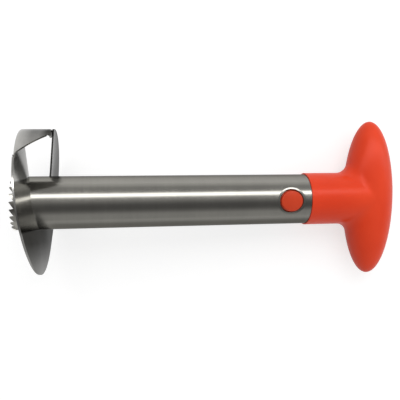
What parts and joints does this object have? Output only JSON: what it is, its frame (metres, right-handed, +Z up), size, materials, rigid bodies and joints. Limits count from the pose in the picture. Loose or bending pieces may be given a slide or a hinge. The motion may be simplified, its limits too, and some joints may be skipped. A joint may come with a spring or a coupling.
{
  "type": "pineapple corer",
  "caption": "Pineapple corer: saw-toothed steel tube with a one-piece spiral ring blade and a T-grip that plugs in and is held by a sprung button.",
  "frame": {"origin": "on the table, under the middle of the tool's bounding box, as it lies at rest", "axes": "+X runs from the saw teeth towards the T-grip, +Y along the grip's bar, +Z up from the table; the tool's own axis dips towards the grip"},
  "size_m": [0.242, 0.1008, 0.0879],
  "materials": {
    "tube_steel": "satin, brushed round the tube",
    "blade_steel": "satin",
    "grip_plastic": "semi-gloss orange-red",
    "button_plastic": "semi-gloss orange-red",
    "spring_steel": "bright drawn wire"
  },
  "bodies": {
    "corer": {"core_tube": "tube_steel", "ring_blade": "blade_steel", "handle": "grip_plastic", "button_spring": "spring_steel"},
    "button": {"release_button": "button_plastic"}
  },
  "joints": [
    {"name": "button_press", "type": "slide", "parent": "corer", "child": "button", "axis": [-0.1274, 0, -0.9918], "range_m": [0, 0.003], "stiffness_N_per_m": 900, "springref_m": -0.002, "deforming": ["button_spring"]}
  ]
}
